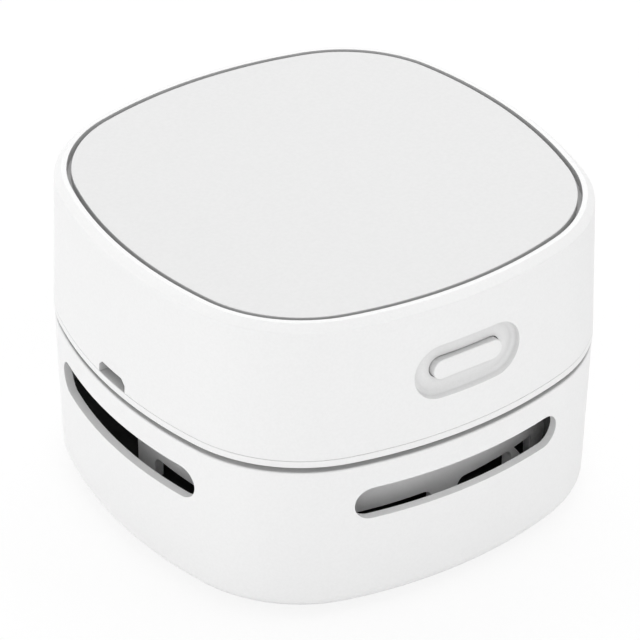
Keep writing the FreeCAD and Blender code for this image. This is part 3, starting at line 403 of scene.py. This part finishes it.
BRISTLE_ROOT, BRISTLE_FIRST_ROW, BRISTLE_ROW_STEP = 2.05, 11.6, 2.6
TUFT_HALF_SPAN, TUFTS_PER_ROW, FIBRES_PER_TUFT, TUFT_REACH = 65.0, 10, 24, 0.62
FIBRE_RADII = (0.085, 0.085, 0.075, 0.045)
FOAM_BARS, FOAM_BAR_HALF, FRAME_INSIDE = (30, 90, 150), 0.55, 19.6
FOAM_PORE, FOAM_PORE_DEPTH, FOAM_CROWN = 0.75, 0.16, 0.28
FOAM_FLAT, FOAM_SHOULDER, FOAM_SIDE = 19.35, 19.5, 19.55
FOAM_TOP, FOAM_BOTTOM = 8.96, 7.52
WIRE, WIRE_TURNS, WIRE_LAYERS, WIRE_LAYER_STEP = 0.3, 8, 4, 0.31
POLE_START, POLE_LENGTH, POLE_HALF_WIDTH, POLE_HALF_HEIGHT = 2.58, 2.14, 1.13, 5.68
CORE_MIDDLE = 27.9
CONTACTS, CONTACT_PITCH, CONTACT_TIP, CONTACT_HALF, CONTACT_PROUD = 6, 0.5, 0.09, 0.13, 0.03


def add_piece(name, verts, faces, body, slot):
    """A smooth mesh with its slot's material, riding on a body."""
    mesh = bpy.data.meshes.new(name)
    mesh.from_pydata([tuple(v * MM) for v in verts], [], faces)
    mesh.update()
    mesh.shade_smooth()
    mesh.materials.append(finishes[slot].material)
    piece = bpy.data.objects.new(name, mesh)
    scene.collection.objects.link(piece)
    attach(piece, body)
    return piece


def add_tube(verts, faces, points, radii, sides, side=Vector((1, 0, 0))):
    """A thin round bar along points, closed at its ends."""
    first = len(verts)
    for i, point in enumerate(points):
        along = (points[min(i + 1, len(points) - 1)] - points[max(i - 1, 0)]).normalized()
        one = (side - along * side.dot(along)).normalized()
        other = along.cross(one)
        for k in range(sides):
            turn = 2 * math.pi * k / sides
            verts.append(point + (one * math.cos(turn) + other * math.sin(turn)) * radii[i])
    for i in range(len(points) - 1):
        for k in range(sides):
            a, b = first + i * sides + k, first + i * sides + (k + 1) % sides
            faces.append((a, b, b + sides, a + sides))
    faces.append(tuple(first + k for k in reversed(range(sides))))
    faces.append(tuple(len(verts) - sides + k for k in range(sides)))


def bristles():
    """Stiff fibres in the ring's holes, which splay a little towards the desk."""
    chance = random.Random(7)
    verts, faces = [], []
    step = TUFT_HALF_SPAN * 2 / (TUFTS_PER_ROW - 1)
    for middle in (90.0, 270.0):
        for row in range(2):
            for i in range(TUFTS_PER_ROW):
                angle = math.radians(middle - TUFT_HALF_SPAN + (row - 0.5) * step / 2 + i * step)
                outwards = Vector((math.cos(angle), math.sin(angle), 0))
                centre = outwards * (BRISTLE_FIRST_ROW + BRISTLE_ROW_STEP * row)
                for _ in range(FIBRES_PER_TUFT):
                    reach = TUFT_REACH * math.sqrt(chance.random())
                    turn = chance.uniform(0, 2 * math.pi)
                    root = Vector((math.cos(turn), math.sin(turn), 0)) * reach
                    stray = Vector((chance.uniform(-0.15, 0.15), chance.uniform(-0.15, 0.15), 0))
                    lean = root * 0.45 + stray
                    tip = chance.uniform(0.25, 0.6)
                    points = []
                    for t in (0.0, 0.4, 0.75, 1.0):
                        height = Vector((0, 0, BRISTLE_ROOT + (tip - BRISTLE_ROOT) * t))
                        points.append(centre + root + lean * t ** 2 + height)
                    add_tube(verts, faces, points, FIBRE_RADII, 5)
    piece = add_piece("bristle_fibres", verts, faces, "dust_cup", "bristle_nylon")
    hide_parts("bristle_tufts")


def foam_point(reach, turn, z, out, bulge):
    """A point of the foam's skin, moved by its pores and, underneath, by the frame's bars."""
    x, y = reach * math.cos(turn), reach * math.sin(turn)
    if bulge:
        lines = [math.radians(a) for a in FOAM_BARS]
        aside = min(abs(x * math.sin(a) - y * math.cos(a)) for a in lines)
        gap = max(0.0, aside - FOAM_BAR_HALF)
        edge = 1 - math.exp(-((FRAME_INSIDE - reach) / 1.5) ** 2)
        z -= bulge * edge * (1 - math.exp(-(gap / 1.2) ** 2))
    pore = noise.voronoi(Vector((x, y, z)) / FOAM_PORE)[0][0] - 0.5
    return Vector((x, y, z)) - out * FOAM_PORE_DEPTH * max(0.0, -pore)


def foam_disc():
    """The filter foam: a soft disc that crowns between the bars of its frame."""
    verts, faces = [], []
    around, rings = 150, 50
    reaches = [FOAM_FLAT * (i + 0.5) / rings for i in range(rings)]
    profile = [(reach, FOAM_TOP, 1.0, 0.0) for reach in reaches]
    profile += [(FOAM_SHOULDER, 8.88, 0.7, 0.0), (FOAM_SIDE, 8.6, 0.0, 0.0)]
    profile += [(FOAM_SIDE, 8.0, 0.0, 0.0), (FOAM_SHOULDER, 7.62, -0.7, 0.0)]
    profile += [(reach, FOAM_BOTTOM, -1.0, FOAM_CROWN) for reach in reversed(reaches)]
    for reach, z, up, bulge in profile:
        for k in range(around):
            turn = 2 * math.pi * k / around
            side = math.sqrt(1 - up * up)
            out = Vector((math.cos(turn) * side, math.sin(turn) * side, up))
            verts.append(foam_point(reach, turn, z, out, bulge))
    for i in range(len(profile) - 1):
        for k in range(around):
            a, b = i * around + k, i * around + (k + 1) % around
            faces.append((a, a + around, b + around, b))
    faces.append(tuple(range(around)))
    faces.append(tuple(len(verts) - 1 - k for k in range(around)))
    piece = add_piece("filter_foam_disc", verts, faces, "head", "filter_foam")
    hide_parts("filter_foam")


def rounded(value):
    """A sine or cosine drawn towards 1 or -1, so that a lap is a rounded rectangle."""
    return math.copysign(abs(value) ** 0.35, value)


def wound_coils():
    """Enamelled wire wound on the rotor's three poles, a layer of turns over a layer."""
    verts, faces = [], []
    per_turn = 28
    for pole in range(3):
        turn = math.radians(90.0 + 120.0 * pole)
        out = Vector((math.cos(turn), math.sin(turn), 0))
        across = Vector((-math.sin(turn), math.cos(turn), 0))
        points = []
        for layer in range(WIRE_LAYERS):
            half = POLE_HALF_WIDTH + WIRE_LAYER_STEP * layer
            tall = POLE_HALF_HEIGHT + WIRE_LAYER_STEP * layer
            for step in range(WIRE_TURNS * per_turn + 1):
                lap = step / per_turn
                along = lap if layer % 2 == 0 else WIRE_TURNS - lap
                angle = 2 * math.pi * lap
                reach = POLE_START + along * (POLE_LENGTH / WIRE_TURNS)
                y, z = half * rounded(math.cos(angle)), tall * rounded(math.sin(angle))
                points.append(out * reach + across * y + Vector((0, 0, CORE_MIDDLE + z)))
        add_tube(verts, faces, points, [WIRE / 2] * len(points), 5, out)
    piece = add_piece("wound_coils", verts, faces, "rotor", "copper")
    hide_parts("armature_windings")


def socket_contacts():
    """Plated contacts on both faces of the charging socket's tongue."""
    low, high = (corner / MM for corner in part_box("usb_tongue"))
    verts, faces = [], []
    for z, way in ((high.z, 1), (low.z, -1)):
        for i in range(CONTACTS):
            y = (low.y + high.y) / 2 + (i - (CONTACTS - 1) / 2) * CONTACT_PITCH
            x0, x1 = low.x + 0.35 + 0.2 * (i % 2), high.x - 0.4
            first = len(verts)
            for x, half, proud in (
                (x0, CONTACT_TIP, 0.0),
                (x0 + 0.1, CONTACT_HALF, CONTACT_PROUD),
                (x1, CONTACT_HALF, CONTACT_PROUD),
                (x1, CONTACT_HALF, 0.0),
            ):
                verts.append(Vector((x, y - half, z + way * proud)))
                verts.append(Vector((x, y + half, z + way * proud)))
            for k in range(3):
                a = first + 2 * k
                faces.append((a, a + 2, a + 3, a + 1) if way > 0 else (a, a + 1, a + 3, a + 2))
    piece = add_piece("socket_contacts", verts, faces, "head", "tab_nickel")
    piece.data.shade_flat()


bristles()
foam_disc()
wound_coils()
socket_contacts()
